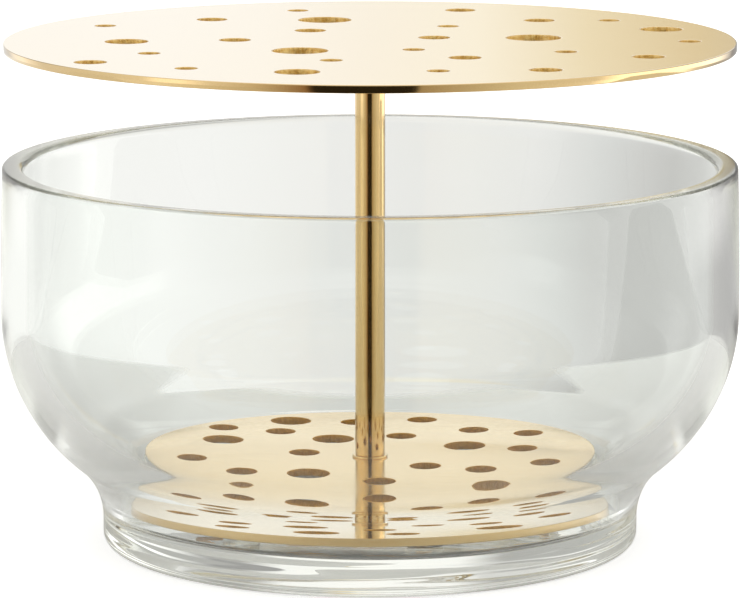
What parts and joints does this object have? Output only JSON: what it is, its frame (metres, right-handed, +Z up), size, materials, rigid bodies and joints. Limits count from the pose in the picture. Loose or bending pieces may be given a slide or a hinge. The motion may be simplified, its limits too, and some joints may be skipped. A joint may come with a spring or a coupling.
{
  "type": "ikebana vase",
  "caption": "Round clear-glass bowl vase with a lift-out brass flower holder: perforated discs joined by a slim post keep the stems upright.",
  "frame": {"origin": "centre of the bowl's underside, on the surface it stands on", "axes": "+Z up along the bowl's axis and the post; -Y is the front that the picture shows; +X is to the right seen from the front"},
  "size_m": [0.19, 0.19, 0.13],
  "materials": {
    "clear_glass": "clear mould-blown glass with a faint grey-green tint, fire polished",
    "brushed_brass": "pale brass sheet, finely brushed",
    "drawn_brass": "polished drawn brass rod",
    "screw_brass": "turned brass screw",
    "clear_rubber": "clear soft bumper"
  },
  "bodies": {
    "bowl": {"glass_bowl": "clear_glass"},
    "stem": {"post": "drawn_brass"},
    "holder": {"upper_disc": "brushed_brass", "lower_disc": "brushed_brass", "foot_collar": "drawn_brass", "foot_screw": "screw_brass", "foot_pad_1": "clear_rubber", "foot_pad_2": "clear_rubber", "foot_pad_3": "clear_rubber"}
  },
  "joints": [
    {"name": "holder_lift", "type": "slide", "parent": "bowl", "child": "stem", "axis": [0, 0, 1], "range_m": [0, 0.11]},
    {"name": "holder_turn", "type": "hinge", "parent": "stem", "child": "holder", "pos_m": [0, 0, 0.07], "axis": [0, 0, 1], "continuous": true}
  ]
}
